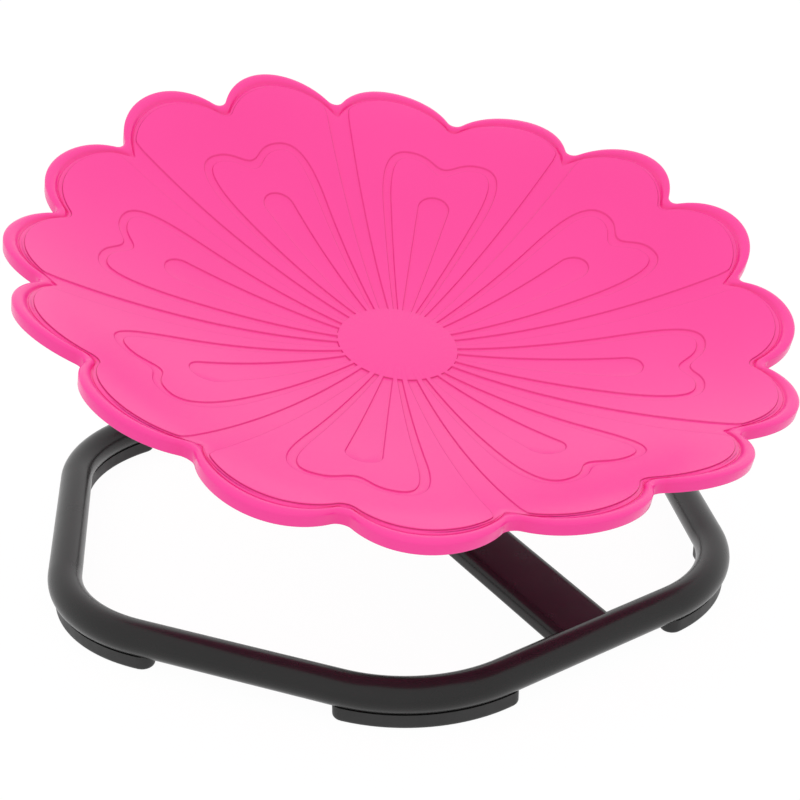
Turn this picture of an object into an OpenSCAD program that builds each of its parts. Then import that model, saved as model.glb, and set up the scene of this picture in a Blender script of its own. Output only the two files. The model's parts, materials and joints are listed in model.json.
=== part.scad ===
// Toddler spinning seat: a flower-shaped dish that spins on a tilted spindle over a hexagonal tube frame.
// The floor is at z = 0, the frame's centre is on the Z axis, and the seat's low side faces -Y.

/* [Base ring] */
// Radius of the hexagon at its sharp corners, on the tube's centre line
ring_r = 280; // [250:1:320]
// Outside diameter of the ring tube
tube_d = 25; // [22:0.5:30]
// Wall of the ring tube
tube_wall = 1.8; // [1.2:0.1:3]
// Bend radius of the ring's corners, on the tube's centre line
bend_r = 108; // [80:1:140]
// How far a tube's wall draws in where the tube is bent
bend_draw = 0.05; // [0.01:0.01:0.05]

/* [Crossbar] */
// Width of the crossbar's flat tube
bar_w = 50; // [46:1:60]
// Height of the crossbar's flat tube
bar_h = 15; // [12:0.5:17]
// Corner radius of the crossbar's section
bar_corner = 4; // [2.5:0.5:5]
// Wall of the crossbar
bar_wall = 2; // [1.5:0.1:2.5]
// Slope of the crossbar's arms, which rise from the ring to the middle
bar_slope = 9; // [5:0.5:12]
// Height of the crossbar's centre over the ring's centre where they meet
bar_lift = 3.5; // [0:0.5:4]
// Bend radius of the arch in the middle of the crossbar
arch_r = 380; // [300:5:480]

/* [Feet] */
// Width of a rubber foot pad
foot_w = 17; // [12:0.5:20]
// Depth of rubber under the tube
foot_drop = 8.8; // [6:0.1:12]
// Length of a pad along its bend, over its round ends
foot_l = 131; // [100:1:140]
// Turn of a pad round its bend from the corner's middle
foot_turn = 1.9; // [0:0.1:3]
// Width of the flat edge along the top of a pad's sides
foot_land = 1.2; // [0.6:0.1:2]
// Rounding of a pad's lower edges
foot_round = 3; // [0.5:0.1:3.5]
// Thread diameter of a foot screw
foot_screw_d = 4; // [3:0.5:5]
// Head diameter of a foot screw
foot_head_d = 8; // [7:0.5:9.5]
// Head height of a foot screw
foot_head_h = 2.4; // [1.5:0.1:3]
// Depth of a screw head's recess in the pad
foot_sink = 3.6; // [3.2:0.1:4.5]
// Reach of a foot screw past the tube's underside
foot_screw_reach = 6; // [4:0.5:9]
// Angle of each foot screw either side of its pad's middle
foot_screw_angle = 20; // [10:1:26]

/* [Tilt] */
// Tilt of the spin axis towards the low side
tilt = 15; // [8:0.5:18]
// Height over the floor where the spin axis crosses the frame's centre line
axis_cross_z = 87.1; // [80:0.1:100]
// Distance along the axis from that crossing to the seat's centre disc
seat_rise = 86; // [84:0.5:120]
// Turn of the seat about its axis at rest
seat_turn = 0.45; // [0:0.05:45]

/* [Seat outline] */
// Diameter over the tips of the lobes
seat_d = 583; // [520:1:640]
// Radius of a lobe's arc
lobe_r = 53; // [50:0.1:62]
// Radius of the fillet between two lobes
notch_r = 8.6; // [6:0.1:14]

/* [Seat dish] */
// Depth of the bowl's curve, from the centre disc to the lobes' tips
dish_depth = 69.7; // [40:0.1:90]
// Width of the band along the rim where the dish flattens
roll_w = 41.5; // [18:0.5:50]
// Drop of the flattened rim under the bowl's curve
rim_drop = 4.3; // [0:0.1:6]
// Rise of the rim over the bowl's even curve
rim_rise = 1.6; // [0:0.1:3]
// Rise and fall of the rim's wave
wave_h = 10.45; // [0:0.05:16]
// Radius of the flat centre disc
disc_r = 48; // [44:0.5:54]
// Wall of the dish
seat_wall = 4.5; // [3.5:0.1:6]
// Depth of the grooves in the petals
relief = 1.1; // [0.6:0.1:2.5]

/* [Seat rim] */
// Inset of the raised petals from the outline
panel_inset = 15.6; // [12:0.1:18]
// Width of the channel between the petals and the rim's bead
channel_w = 3; // [2:0.1:4]
// Rise of the rim's bead over the channel
bead_h = 0.9; // [0.3:0.1:2]
// Depth of the rim's skirt under the dish's face
skirt_h = 11.4; // [8:0.1:16]
// Wall of the rim's skirt
skirt_wall = 3.4; // [2.5:0.1:4]
// Depth of the stiffening ribs under the dish
rib_h = 8; // [3:0.5:9]

/* [Seat petals] */
// Half angle of the slot in a petal's middle
slot_angle = 4.3; // [3:0.1:5.5]
// Width of the groove between two petals at the centre disc
groove_w_in = 7; // [4:0.5:8]
// Width of the groove between two petals at the rim
groove_w_out = 19; // [14:0.5:22]

/* [Hub] */
// Height of the screw bosses under the dish
boss_h = 10; // [9.5:0.5:14]
// Diameter of a screw boss
boss_d = 15; // [12:0.5:18]
// Radius of the circle of screw bosses
boss_circle_r = 50; // [46:0.5:54]
// Diameter of the flange plate
plate_d = 130; // [124:1:132]
// Thickness of the flange plate
plate_t = 4; // [3:0.5:6]
// Outside diameter of the bearing hub
hub_d = 58; // [54:0.5:66]
// Recess of the lower bearing in the hub
hub_recess = 2; // [1:0.5:4]
// Height of the shoulder between the two bearings
hub_shoulder_h = 8; // [6:0.5:12]
// Hub length over the upper bearing
hub_top_h = 8; // [4:0.5:9]
// Thread diameter of a flange screw
flange_screw_d = 5; // [4:0.5:6]
// Reach of a flange screw into its boss
flange_screw_reach = 8.5; // [6:0.5:9]
// Head diameter of a flange screw
flange_head_d = 9.5; // [8.5:0.5:11]
// Head height of a flange screw
flange_head_h = 3.2; // [2.5:0.1:4]
// Diameter of a flange washer
flange_washer_d = 12.5; // [11.5:0.5:14]
// Thickness of a flange washer
flange_washer_t = 1.2; // [0.8:0.1:1.6]

/* [Bearings] */
// Outside diameter of a ball bearing
bearing_d = 47; // [46:0.5:50]
// Bore of a ball bearing
bearing_bore = 20; // [18:0.5:20.5]
// Width of a ball bearing
bearing_w = 14; // [13.5:0.5:16]
// Diameter of a bearing ball
ball_d = 7.9; // [7:0.1:8.2]
// Number of balls in a bearing
ball_count = 8; // [6:1:9]
// Thickness of a bearing's outer race at its shoulders
race_t_out = 3.9; // [3.5:0.1:4.2]
// Thickness of a bearing's inner race at its shoulders
race_t_in = 3.9; // [3.5:0.1:4.2]
// Radial thickness of a ball cage
cage_t = 2.2; // [1.5:0.1:3]
// Height of a ball cage
cage_h = 9.8; // [9.4:0.1:10.6]
// Thickness of a bearing seal
seal_t = 0.8; // [0.5:0.1:1.2]

/* [Spindle] */
// Outside diameter of the pivot post
post_d = 42; // [38:0.5:42]
// Wall of the pivot post
post_wall = 2.5; // [2:0.1:4]
// Height of the spindle's collar on the post
collar_h = 5; // [3:0.5:8]
// Depth of the spindle's plug in the post
plug_h = 12; // [8:0.5:14]
// Diameter of the spindle's bearing shoulder
shoulder_d = 26.5; // [25:0.5:27.5]
// Thread diameter at the spindle's top
thread_d = 16; // [12:0.5:17]
// Thread that shows past the lock nut
thread_past = 2; // [1:0.5:4]
// Across-flats size of the lock nut
nut_flats = 24; // [22:0.5:26]
// Height of the lock nut's hexagon
nut_h = 8; // [6:0.5:9]
// Height of the lock nut's round collar
nut_collar_h = 3; // [2:0.5:4]
// Outside diameter of the spindle's washer
washer_d = 30; // [27:0.5:34]
// Thickness of the spindle's washer
washer_t = 2.5; // [2:0.5:3]
// Wall of the spacer sleeve between the bearings
spacer_wall = 3; // [2:0.1:3.5]

/* [Hidden] */
$fn = 96;
// Gap left at a weld between two tubes
weld_gap = 0.1;
// Radial room in a close fit
fit_gap = 0.05;
// Running room between the hub and the collar under it
run_gap = 1;
// Running room round a ball
ball_gap = 0.06;
// Room round a ball in its cage
cage_gap = 0.2;
// Room between a seal and the inner race
seal_gap = 0.3;
// Room round a screw in a clearance hole
screw_gap = 0.3;
// Length that a cut runs past its solid
overrun = 20;
// Length that two stretches of one bent tube run into each other
lap = 0.5;

// The frame
corner_count = 6;
corner_step = 360 / corner_count;
corner_half = corner_step / 2;
tube_r = tube_d / 2;
tube_z = foot_drop + tube_r;
flat_r = ring_r * cos(corner_half);
corner_c = ring_r - bend_r / cos(corner_half);
foot_angle = (foot_l - foot_w) / bend_r * 180 / PI;
foot_top = tube_z - sqrt(pow(tube_r + weld_gap, 2) - pow(foot_w / 2 - foot_land, 2));
foot_shank_l = foot_head_h / 2 + foot_drop - foot_sink + foot_screw_reach;
straight_l = 2 * (ring_r * sin(corner_half) - bend_r * tan(corner_half));
arch_half = arch_r * sin(bar_slope);
arm_l = (flat_r - arch_half) / cos(bar_slope);
arch_c_z = tube_z + bar_lift + (flat_r - arch_half) * tan(bar_slope) - arch_r * cos(bar_slope);
bar_top_r = arch_r + bar_h / 2;
bar_top_z = arch_c_z + bar_top_r;

// Levels along the spin axis, from the point where it crosses the frame's centre line
disc_z = seat_rise;
pad_z = disc_z - seat_wall;
plate_top = pad_z - boss_h;
plate_bottom = plate_top - plate_t;
hub_l = hub_recess + 2 * bearing_w + hub_shoulder_h + hub_top_h;
hub_bottom = plate_bottom - hub_l;
lower_z = hub_bottom + hub_recess;
spacer_z = lower_z + bearing_w;
upper_z = spacer_z + hub_shoulder_h;
washer_z = upper_z + bearing_w;
nut_z = washer_z + washer_t;
thread_top = nut_z + nut_h + nut_collar_h + thread_past;
collar_top = hub_bottom - run_gap;
post_top = collar_top - collar_h;
post_foot = (bar_top_z - axis_cross_z) / cos(tilt) - post_d;
head_z = plate_bottom - flange_washer_t;
plug_r = post_d / 2 - post_wall - fit_gap;
journal_r = bearing_bore / 2 - fit_gap;
thread_r = thread_d / 2 - fit_gap;
boss_count = 6;

// The bearings
bearing_r = bearing_d / 2;
race_in_r = bearing_bore / 2 + race_t_in;
race_out_r = bearing_r - race_t_out;
pitch_r = (race_in_r + race_out_r) / 2;
ball_r = ball_d / 2;
hub_shoulder_r = bearing_r - race_t_out;

// The dish
petals = 8;
petal_step = 360 / petals;
petal_half = petal_step / 2;
lobe_half = petal_half / 2;
waves = petals / 2;
seat_r = seat_d / 2;
panel_notch = notch_polar(panel_inset)[0];
slot_end_share = 0.7129;
slot_c = panel_notch * slot_end_share / (1 + sin(slot_angle));
// Inner and outer edge of a petal's heart-shaped groove
heart_start_angles = [9.0, 13.05];
heart_side_angles = [12.0, 14.2];
heart_peak_angles = [6.84, 6.66];
heart_side_share = 0.66;
heart_peak_shares = [0.8632, 0.8867];
heart_notch_shares = [0.8107, 0.8412];
shoulder_out_share = 0.38;
shoulder_in_shares = [0.5, 0.77];
notch_in_share = 0.55;
notch_out_share = 0.3;
// Rim section from the channel to the skirt's lower edge: inset as a share of the bead's width,
// rise as a share of the bead's rise
bead_w = panel_inset - channel_w;
bead_inset_shares = [0.86, 0.7, 0.55, 0.42, 0.28, 0.15, 0.06, 0.01];
bead_rise_shares = [-0.1, 0.5, 0.98, 1, 0.47, -0.28, -1.5, -2.5];
// Rows under the dish, from the rim to the flat pad round the screw bosses
under_shares = [0.25, 0.5, 0.75];
skirt_fillet_share = 0.25;
pad_r = boss_circle_r + boss_d / 2 + seat_wall;
rib_ramp = rib_h / 3;
rib_rim_share = 0.5;

// Segments along a petal's half outline: up its side, round a notch fillet and round a lobe
side_n = 5;
fillet_n = 2;
lobe_n = 8;
edge_n = lobe_n + 2 * fillet_n;
half_n = side_n + edge_n;
shoulder_n = 6;
whole_n = 2 * half_n;
ring_n = petals * 2 * edge_n;

charcoal = [0.20, 0.20, 0.20];
rubber_black = [0.13, 0.13, 0.13];
steel = [0.72, 0.72, 0.74];
zinc = [0.62, 0.63, 0.65];
seal_black = [0.08, 0.08, 0.09];
brass_cage = [0.75, 0.62, 0.35];
pink = [1.0, 0.35, 0.65];

// Bend at corner k of a round bar of radius r
module ring_bend(k, r) {
    rotate(k * corner_step)
        translate([corner_c, 0, tube_z])
            rotate(-corner_half)
                rotate_extrude(angle = corner_step)
                    translate([bend_r, 0]) circle(r - bend_draw);
}

// Straight stretch of a round bar of radius r, past corner k
module ring_straight(k, r) {
    rotate(k * corner_step + corner_half)
        translate([flat_r, 0, tube_z])
            rotate([90, 0, 0])
                cylinder(r = r, h = straight_l + 2 * lap, center = true);
}

// Round bar of radius r bent to the ring's rounded hexagon
module ring_bar(r) {
    for (k = [0:corner_count - 1]) {
        ring_bend(k, r);
        ring_straight(k, r);
    }
}

// Places its children at each foot screw of corner k, on the floor under the tube's centre line
module at_foot_screws(k) {
    for (side = [-1, 1])
        rotate(k * corner_step)
            translate([corner_c, 0, 0])
                rotate(foot_turn + side * foot_screw_angle)
                    translate([bend_r, 0, 0]) children();
}

module base_ring() {
    color(charcoal)
        difference() {
            ring_bar(tube_r);
            ring_bar(tube_r - tube_wall);
            for (k = [0:corner_count - 1])
                at_foot_screws(k) cylinder(d = foot_screw_d + 2 * fit_gap, h = tube_z);
        }
}

// Flat tube's section lying across the arch: height along x, width along y
module bar_section(inset) {
    h = bar_h - 2 * inset;
    w = bar_w - 2 * inset;
    r = max(bar_corner - inset, bar_corner / 2);
    square([h - 2 * r, w], center = true);
    square([h, w - 2 * r], center = true);
    for (x = [-1, 1], y = [-1, 1])
        translate([x * (h / 2 - r), y * (w / 2 - r)]) circle(r);
}

// The arch and its two arms as one solid bar, inset from the tube's outside
module arched_bar(inset) {
    translate([0, 0, arch_c_z])
        rotate([0, -90, 0]) {
            rotate(-bar_slope)
                rotate_extrude(angle = 2 * bar_slope, $fn = 4 * $fn)
                    translate([arch_r, 0]) bar_section(inset + bend_draw);
            for (side = [-1, 1])
                rotate(side * bar_slope)
                    translate([arch_r, -side * lap, 0])
                        rotate([-side * 90, 0, 0])
                            linear_extrude(arm_l + lap) bar_section(inset);
        }
}

module crossbar() {
    color(charcoal)
        difference() {
            arched_bar(0);
            arched_bar(bar_wall);
            for (side = [-1, 1])
                translate([0, side * flat_r, tube_z]) {
                    rotate([0, 90, 0]) cylinder(r = tube_r + weld_gap, h = bar_w + overrun, center = true);
                    translate([0, side * tube_d / 2, 0])
                        cube([bar_w + overrun, tube_d, 2 * tube_d], center = true);
                }
        }
}

// Pad section before it is hollowed to the tube: outwards along x, up from the floor along y
module foot_section() {
    translate([0, (foot_top + foot_round) / 2]) square([foot_w, foot_top - foot_round], center = true);
    translate([0, foot_top / 2]) square([foot_w - 2 * foot_round, foot_top], center = true);
    for (side = [-1, 1])
        translate([side * (foot_w / 2 - foot_round), foot_round]) circle(foot_round);
}

// Half section of a pad's round end, drawn in a little from the pad's own section
module foot_end_section() {
    w = foot_w / 2 - bend_draw;
    r = foot_round - bend_draw;
    translate([0, foot_round]) square([w, foot_top - foot_round]);
    translate([0, bend_draw]) square([w - r, foot_top - bend_draw]);
    translate([w - r, foot_round]) circle(r);
}

// Pad of corner k as a solid block that runs up past the tube's underside
module foot_block(k) {
    rotate(k * corner_step)
        translate([corner_c, 0, 0])
            rotate(foot_turn) {
                rotate(-foot_angle / 2)
                    rotate_extrude(angle = foot_angle)
                        translate([bend_r, 0]) foot_section();
                for (side = [-1, 1])
                    rotate(side * foot_angle / 2)
                        translate([bend_r, 0, 0])
                            rotate_extrude() foot_end_section();
            }
}

module foot(k) {
    hollow_r = tube_r + weld_gap + bend_draw;
    color(rubber_black)
        difference() {
            foot_block(k);
            ring_bend(k, hollow_r);
            ring_straight(k, hollow_r);
            ring_straight(k - 1, hollow_r);
            at_foot_screws(k) {
                cylinder(d = foot_screw_d + 2 * screw_gap, h = tube_z);
                translate([0, 0, -overrun])
                    cylinder(d = foot_head_d + 2 * screw_gap, h = foot_sink + overrun);
            }
        }
}

module foot_screws() {
    color(zinc)
        for (k = [0:corner_count - 1])
            at_foot_screws(k)
                translate([0, 0, foot_sink - foot_head_h]) {
                    cylinder(d = foot_head_d, h = foot_head_h);
                    translate([0, 0, foot_head_h / 2])
                        cylinder(d = foot_screw_d, h = foot_shank_l);
                }
}

// Puts its children on the tilted spin axis
module on_axis() {
    translate([0, 0, axis_cross_z]) rotate([tilt, 0, 0]) children();
}

module pivot_post() {
    color(charcoal)
        difference() {
            on_axis()
                translate([0, 0, post_foot])
                    difference() {
                        cylinder(d = post_d, h = post_top - post_foot);
                        translate([0, 0, -overrun])
                            cylinder(d = post_d - 2 * post_wall, h = post_top - post_foot + 2 * overrun);
                    }
            translate([0, 0, arch_c_z])
                rotate([0, 90, 0])
                    cylinder(r = bar_top_r + weld_gap, h = bar_w + overrun, center = true, $fn = 4 * $fn);
        }
}

module spindle() {
    color(steel)
        on_axis()
            rotate_extrude()
                polygon([[0, post_top - plug_h], [plug_r, post_top - plug_h], [plug_r, post_top],
                    [post_d / 2, post_top], [post_d / 2, collar_top], [shoulder_d / 2, collar_top],
                    [shoulder_d / 2, lower_z], [journal_r, lower_z], [journal_r, washer_z],
                    [thread_r, washer_z], [thread_r, thread_top], [0, thread_top]]);
}

// Ring of two radii on the spin axis, from level z up
module axis_ring(r_in, r_out, z, h) {
    on_axis()
        translate([0, 0, z])
            difference() {
                cylinder(r = r_out, h = h);
                translate([0, 0, -overrun]) cylinder(r = r_in, h = h + 2 * overrun);
            }
}

module bearing_spacer() {
    color(steel) axis_ring(bearing_bore / 2, bearing_bore / 2 + spacer_wall, spacer_z, hub_shoulder_h);
}

module spindle_washer() {
    color(zinc) axis_ring(thread_d / 2, washer_d / 2, washer_z, washer_t);
}

module lock_nut() {
    color(zinc)
        on_axis()
            translate([0, 0, nut_z])
                difference() {
                    union() {
                        cylinder(d = nut_flats / cos(180 / 6), h = nut_h, $fn = 6);
                        cylinder(d = nut_flats - 2 * fit_gap, h = nut_h + nut_collar_h);
                    }
                    translate([0, 0, -overrun])
                        cylinder(d = thread_d, h = nut_h + nut_collar_h + 2 * overrun);
                }
}

// Groove that the balls run in
module ball_track(z) {
    on_axis()
        translate([0, 0, z + bearing_w / 2])
            rotate_extrude() translate([pitch_r, 0]) circle(ball_r + ball_gap);
}

module inner_race(z) {
    color(steel)
        difference() {
            axis_ring(bearing_bore / 2, race_in_r, z, bearing_w);
            ball_track(z);
        }
}

module outer_race(z) {
    color(steel)
        difference() {
            axis_ring(race_out_r, bearing_r - fit_gap, z, bearing_w);
            ball_track(z);
        }
}

module balls(z) {
    color(steel)
        on_axis()
            for (k = [0:ball_count - 1])
                rotate(k * 360 / ball_count)
                    translate([pitch_r, 0, z + bearing_w / 2]) sphere(ball_r);
}

module ball_cage(z) {
    color(brass_cage)
        difference() {
            axis_ring(pitch_r - cage_t / 2, pitch_r + cage_t / 2, z + (bearing_w - cage_h) / 2, cage_h);
            on_axis()
                for (k = [0:ball_count - 1])
                    rotate(k * 360 / ball_count)
                        translate([pitch_r, 0, z + bearing_w / 2])
                            rotate([0, 90, 0])
                                cylinder(r = ball_r + cage_gap, h = 2 * ball_d, center = true);
        }
}

module seals(z) {
    color(seal_black)
        for (level = [0, bearing_w - seal_t])
            axis_ring(race_in_r + seal_gap, race_out_r - fit_gap, z + level, seal_t);
}

module bearing_hub() {
    color(charcoal)
        on_axis()
            difference() {
                translate([0, 0, hub_bottom]) cylinder(d = hub_d, h = hub_l);
                translate([0, 0, hub_bottom - overrun])
                    cylinder(r = hub_shoulder_r, h = hub_l + 2 * overrun);
                translate([0, 0, hub_bottom - overrun])
                    cylinder(d = bearing_d, h = overrun + hub_recess + bearing_w);
                translate([0, 0, upper_z]) cylinder(d = bearing_d, h = hub_l + overrun);
            }
}

// Puts its children at each screw boss, on the seat's own turn about the axis
module at_bosses() {
    on_axis()
        rotate(seat_turn)
            for (k = [0:boss_count - 1])
                rotate(k * 360 / boss_count) translate([boss_circle_r, 0, 0]) children();
}

module flange_plate() {
    color(zinc)
        difference() {
            axis_ring(bearing_r, plate_d / 2, plate_bottom, plate_t);
            at_bosses()
                translate([0, 0, plate_bottom - overrun])
                    cylinder(d = flange_screw_d + 2 * screw_gap, h = plate_t + 2 * overrun);
        }
}

module flange_washers() {
    color(steel)
        at_bosses()
            translate([0, 0, head_z])
                difference() {
                    cylinder(d = flange_washer_d, h = flange_washer_t);
                    translate([0, 0, -overrun])
                        cylinder(d = flange_screw_d + 2 * screw_gap, h = flange_washer_t + 2 * overrun);
                }
}

module flange_screws() {
    color(zinc)
        at_bosses() {
            translate([0, 0, head_z - flange_head_h]) cylinder(d = flange_head_d, h = flange_head_h);
            translate([0, 0, head_z - flange_head_h / 2])
                cylinder(d = flange_screw_d, h = flange_head_h / 2 + plate_top - head_z + flange_screw_reach);
        }
}

// Height of the dish's face over the axis crossing: a shallow bowl that flattens towards its rim,
// with a wave that grows from the centre disc out
function bowl_share(r) = (r * r - disc_r * disc_r) / (seat_r * seat_r - disc_r * disc_r);
function roll_share(r) = max(r - seat_r + roll_w, 0) / roll_w;
function face_z(r, a) = disc_z + dish_depth * bowl_share(r) - rim_drop * pow(roll_share(r), 2)
    + pow(bowl_share(r), 2) * (rim_rise + wave_h * cos(waves * a));

// Points in a half petal are [radius, angle from the petal's middle]
function polar(p) = [norm(p), atan2(p[1], p[0])];
function flat(r, a) = [r * cos(a), r * sin(a)];

// The lobed outline, drawn in along the radius by inset
function lobe_c(inset) = seat_r - lobe_r - inset;
function fillet_c(inset) = lobe_c(inset) * cos(lobe_half)
    + sqrt(pow(lobe_r + notch_r, 2) - pow(lobe_c(inset) * sin(lobe_half), 2));
function lobe_end(inset) = atan2(fillet_c(inset) * sin(lobe_half),
    fillet_c(inset) * cos(lobe_half) - lobe_c(inset));
function notch_polar(inset) = [fillet_c(inset) - notch_r, petal_half];
function lobe_polar(inset, a) = [norm([lobe_c(inset) + lobe_r * cos(a), lobe_r * sin(a)]),
    lobe_half + atan2(lobe_r * sin(a), lobe_c(inset) + lobe_r * cos(a))];
// Point of the fillet at a share of its half arc from the notch, as an angle from the notch's ray
function fillet_polar(inset, share) = let(b = share * (lobe_end(inset) - lobe_half),
    x = fillet_c(inset) - notch_r * cos(b), y = notch_r * sin(b)) [norm([x, y]), atan2(y, x)];
function edge_polar(j, inset) = j <= fillet_n
    ? let(p = fillet_polar(inset, j / fillet_n)) [p[0], petal_half - p[1]]
    : j < edge_n - fillet_n
        ? lobe_polar(inset, lobe_end(inset) * (1 - 2 * (j - fillet_n) / lobe_n))
        : fillet_polar(inset, (edge_n - j) / fillet_n);

// The raised petal's side meets its lobe where the groove's straight edge cuts the lobe's arc
side_start = flat(disc_r, petal_half - asin(groove_w_in / 2 / disc_r));
side_rim = flat(panel_notch, petal_half) + groove_w_out / 2 * [sin(petal_half), -cos(petal_half)];
function turn(p, a) = [p[0] * cos(a) - p[1] * sin(a), p[0] * sin(a) + p[1] * cos(a)];
function cut_share(p, d, r) = (-p * d + sqrt(pow(p * d, 2) - (d * d) * (p * p - r * r))) / (d * d);
corner_start = turn(side_start, -lobe_half) - [lobe_c(panel_inset), 0];
corner_run = turn(side_rim - side_start, -lobe_half);
corner_p = corner_start + cut_share(corner_start, corner_run, lobe_r) * corner_run;
corner_angle = atan2(corner_p[1], corner_p[0]);
corner_flat = turn(corner_p + [lobe_c(panel_inset), 0], lobe_half);
function panel_polar(i) = let(j = i - side_n, n = edge_n - fillet_n) i <= side_n
    ? polar(side_start + (corner_flat - side_start) * i / side_n)
    : j <= n
        ? lobe_polar(panel_inset, corner_angle - (corner_angle + lobe_end(panel_inset)) * j / n)
        : fillet_polar(panel_inset, (edge_n - j) / fillet_n);

// The slot: straight sides from the centre disc and a round end
function slot_polar(i) = i <= side_n
    ? [disc_r + (slot_c * cos(slot_angle) - disc_r) * i / side_n, slot_angle]
    : let(b = (90 + slot_angle) * (half_n - i) / edge_n)
        polar([slot_c, 0] + slot_c * sin(slot_angle) * [cos(b), sin(b)]);

// The heart: a straight side, a round shoulder up to the peak, then down into the notch
function bezier(p, t) = pow(1 - t, 3) * p[0] + 3 * t * pow(1 - t, 2) * p[1] + 3 * t * t * (1 - t) * p[2]
    + pow(t, 3) * p[3];
function heart_start(e) = flat(disc_r, heart_start_angles[e]);
function heart_side(e) = flat(panel_notch * heart_side_share, heart_side_angles[e]);
function heart_peak(e) = flat(panel_notch * heart_peak_shares[e], heart_peak_angles[e]);
function heart_notch(e) = [panel_notch * heart_notch_shares[e], 0];
function heart_shoulder(e) = [heart_side(e),
    heart_side(e) + shoulder_out_share * (heart_side(e) - heart_start(e)),
    [heart_peak(e)[0], heart_peak(e)[1] * (1 + shoulder_in_shares[e])],
    heart_peak(e)];
function heart_dip(e) = [heart_peak(e),
    [heart_peak(e)[0], heart_peak(e)[1] * (1 - notch_in_share)],
    [heart_notch(e)[0], notch_out_share * heart_peak(e)[1]],
    heart_notch(e)];
function heart_polar(e, i) = i <= side_n
    ? polar(heart_start(e) + (heart_side(e) - heart_start(e)) * i / side_n)
    : i <= side_n + shoulder_n
        ? polar(bezier(heart_shoulder(e), (i - side_n) / shoulder_n))
        : polar(bezier(heart_dip(e), (i - side_n - shoulder_n) / (edge_n - shoulder_n)));

// Lines that nest from the slot's middle out to the raised petal's edge
function petal_line(k, i) = k == 0 ? slot_polar(i) : k == 1 ? heart_polar(0, i) : k == 2 ? heart_polar(1, i)
    : panel_polar(i);
// Each line of the shell: which petal line it follows and how deep it lies
shell_lines = [[0, 1], [0, 0], [1, 0], [1, 1], [2, 1], [2, 0], [3, 0], [3, 1]];
line_n = len(shell_lines);

function at(r, a, drop) = [r * cos(a), r * sin(a), face_z(r, a) - drop];
function petal_point(k, deep, p, i) = let(q = petal_line(k, i <= half_n ? i : whole_n - i))
    at(q[0], p * petal_step + (i <= half_n ? q[1] : -q[1]), deep * relief);

// Place of column c, counted round the whole outline from the groove before the first petal
function column_polar(c, inset) = let(p = floor(c / (2 * edge_n)), j = c % (2 * edge_n))
    j <= edge_n
        ? let(q = edge_polar(j, inset)) [q[0], p * petal_step - q[1]]
        : let(q = edge_polar(2 * edge_n - j, inset)) [q[0], p * petal_step + q[1]];
function rim_row(inset, rise) = [for (c = [0:ring_n - 1])
    let(q = column_polar(c, inset)) at(q[0], q[1], -rise)];

// Under the dish, the columns next to the groove between two petals are drawn down into a rib
function rib_share(c) = let(j = c % (2 * edge_n)) min(j, 2 * edge_n - j) < fillet_n ? 1 : 0;
under_inset = skirt_wall * (1 + skirt_fillet_share);
function under_row(share, rib) = [for (c = [0:ring_n - 1])
    let(q = column_polar(c, under_inset), r = pad_r + rib_ramp + (q[0] - pad_r - rib_ramp) * share)
        at(r, q[1], seat_wall + rib * rib_share(c))];
function pad_row() = [for (c = [0:ring_n - 1]) let(q = column_polar(c, skirt_wall))
    [pad_r * cos(q[1]), pad_r * sin(q[1]), pad_z]];
rows = concat([rim_row(bead_w, -relief)],
    [for (k = [0:len(bead_inset_shares) - 1])
        rim_row(bead_w * bead_inset_shares[k], bead_h * bead_rise_shares[k] - relief)],
    [rim_row(0, -skirt_h / 2), rim_row(0, -skirt_h), rim_row(skirt_wall, -skirt_h)],
    [under_row(1, (skirt_h - seat_wall) * rib_rim_share)],
    [for (k = [len(under_shares) - 1:-1:0]) under_row(under_shares[k], rib_h)],
    [under_row(0, rib_h), pad_row()]);
row_n = len(rows);

// Point numbers in the shell's list
line_at = petals * (half_n + 1);
groove_at = line_at + line_n * petals * (whole_n + 1);
disc_at = groove_at + petals * side_n;
row_at = disc_at + 2 * petals + 1;
under_at = row_at + row_n * ring_n;
function core_ids(p) = [for (i = [0:whole_n]) p * (half_n + 1) + min(i, whole_n - i)];
function line_id(k, p, i) = line_at + (k * petals + p) * (whole_n + 1) + i;
function line_ids(k, p) = [for (i = [0:whole_n]) line_id(k, p, i)];
function groove_id(p, i) = groove_at + ((p + petals) % petals) * side_n + i;
function row_id(k, c) = row_at + k * ring_n + (c + ring_n) % ring_n;
function row_ids(k) = [for (c = [0:ring_n]) row_id(k, c)];
// A petal's outermost line: out along the groove, round the channel and back along the next groove
function outer_ids(p) = [for (i = [0:whole_n])
    i < side_n ? groove_id(p, i)
    : i > whole_n - side_n ? groove_id(p - 1, whole_n - i)
    : row_id(0, (p + 1) * 2 * edge_n - (i - side_n))];
function slot_top(p) = disc_at + p;
function groove_top(p) = disc_at + petals + (p + petals) % petals;
disc_centre = disc_at + 2 * petals;

function strip(a, b) = [for (i = [0:len(a) - 2])
    each [[a[i], a[i + 1], b[i + 1]], [a[i], b[i + 1], b[i]]]];
function disc_edge(p) = concat([groove_top(p - 1)],
    [for (k = [line_n - 2, 5, 2, 1]) line_id(k, p, whole_n)], [slot_top(p)],
    [for (k = [1, 2, 5, line_n - 2]) line_id(k, p, 0)]);
disc_edge_ids = [for (p = [0:petals - 1]) each disc_edge(p)];

shell_points = concat(
    [for (p = [0:petals - 1], i = [0:half_n])
        at(disc_r + (slot_c - disc_r) * i / half_n, p * petal_step, relief)],
    [for (k = [0:line_n - 1], p = [0:petals - 1], i = [0:whole_n])
        petal_point(shell_lines[k][0], shell_lines[k][1], p, i)],
    [for (p = [0:petals - 1], i = [0:side_n - 1])
        at(disc_r + (notch_polar(bead_w)[0] - disc_r) * i / side_n, (p + 0.5) * petal_step, relief)],
    [for (p = [0:petals - 1]) at(disc_r, p * petal_step, 0)],
    [for (p = [0:petals - 1]) at(disc_r, (p + 0.5) * petal_step, 0)],
    [[0, 0, disc_z]],
    [for (row = rows) each row],
    [[0, 0, pad_z]]);

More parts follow.
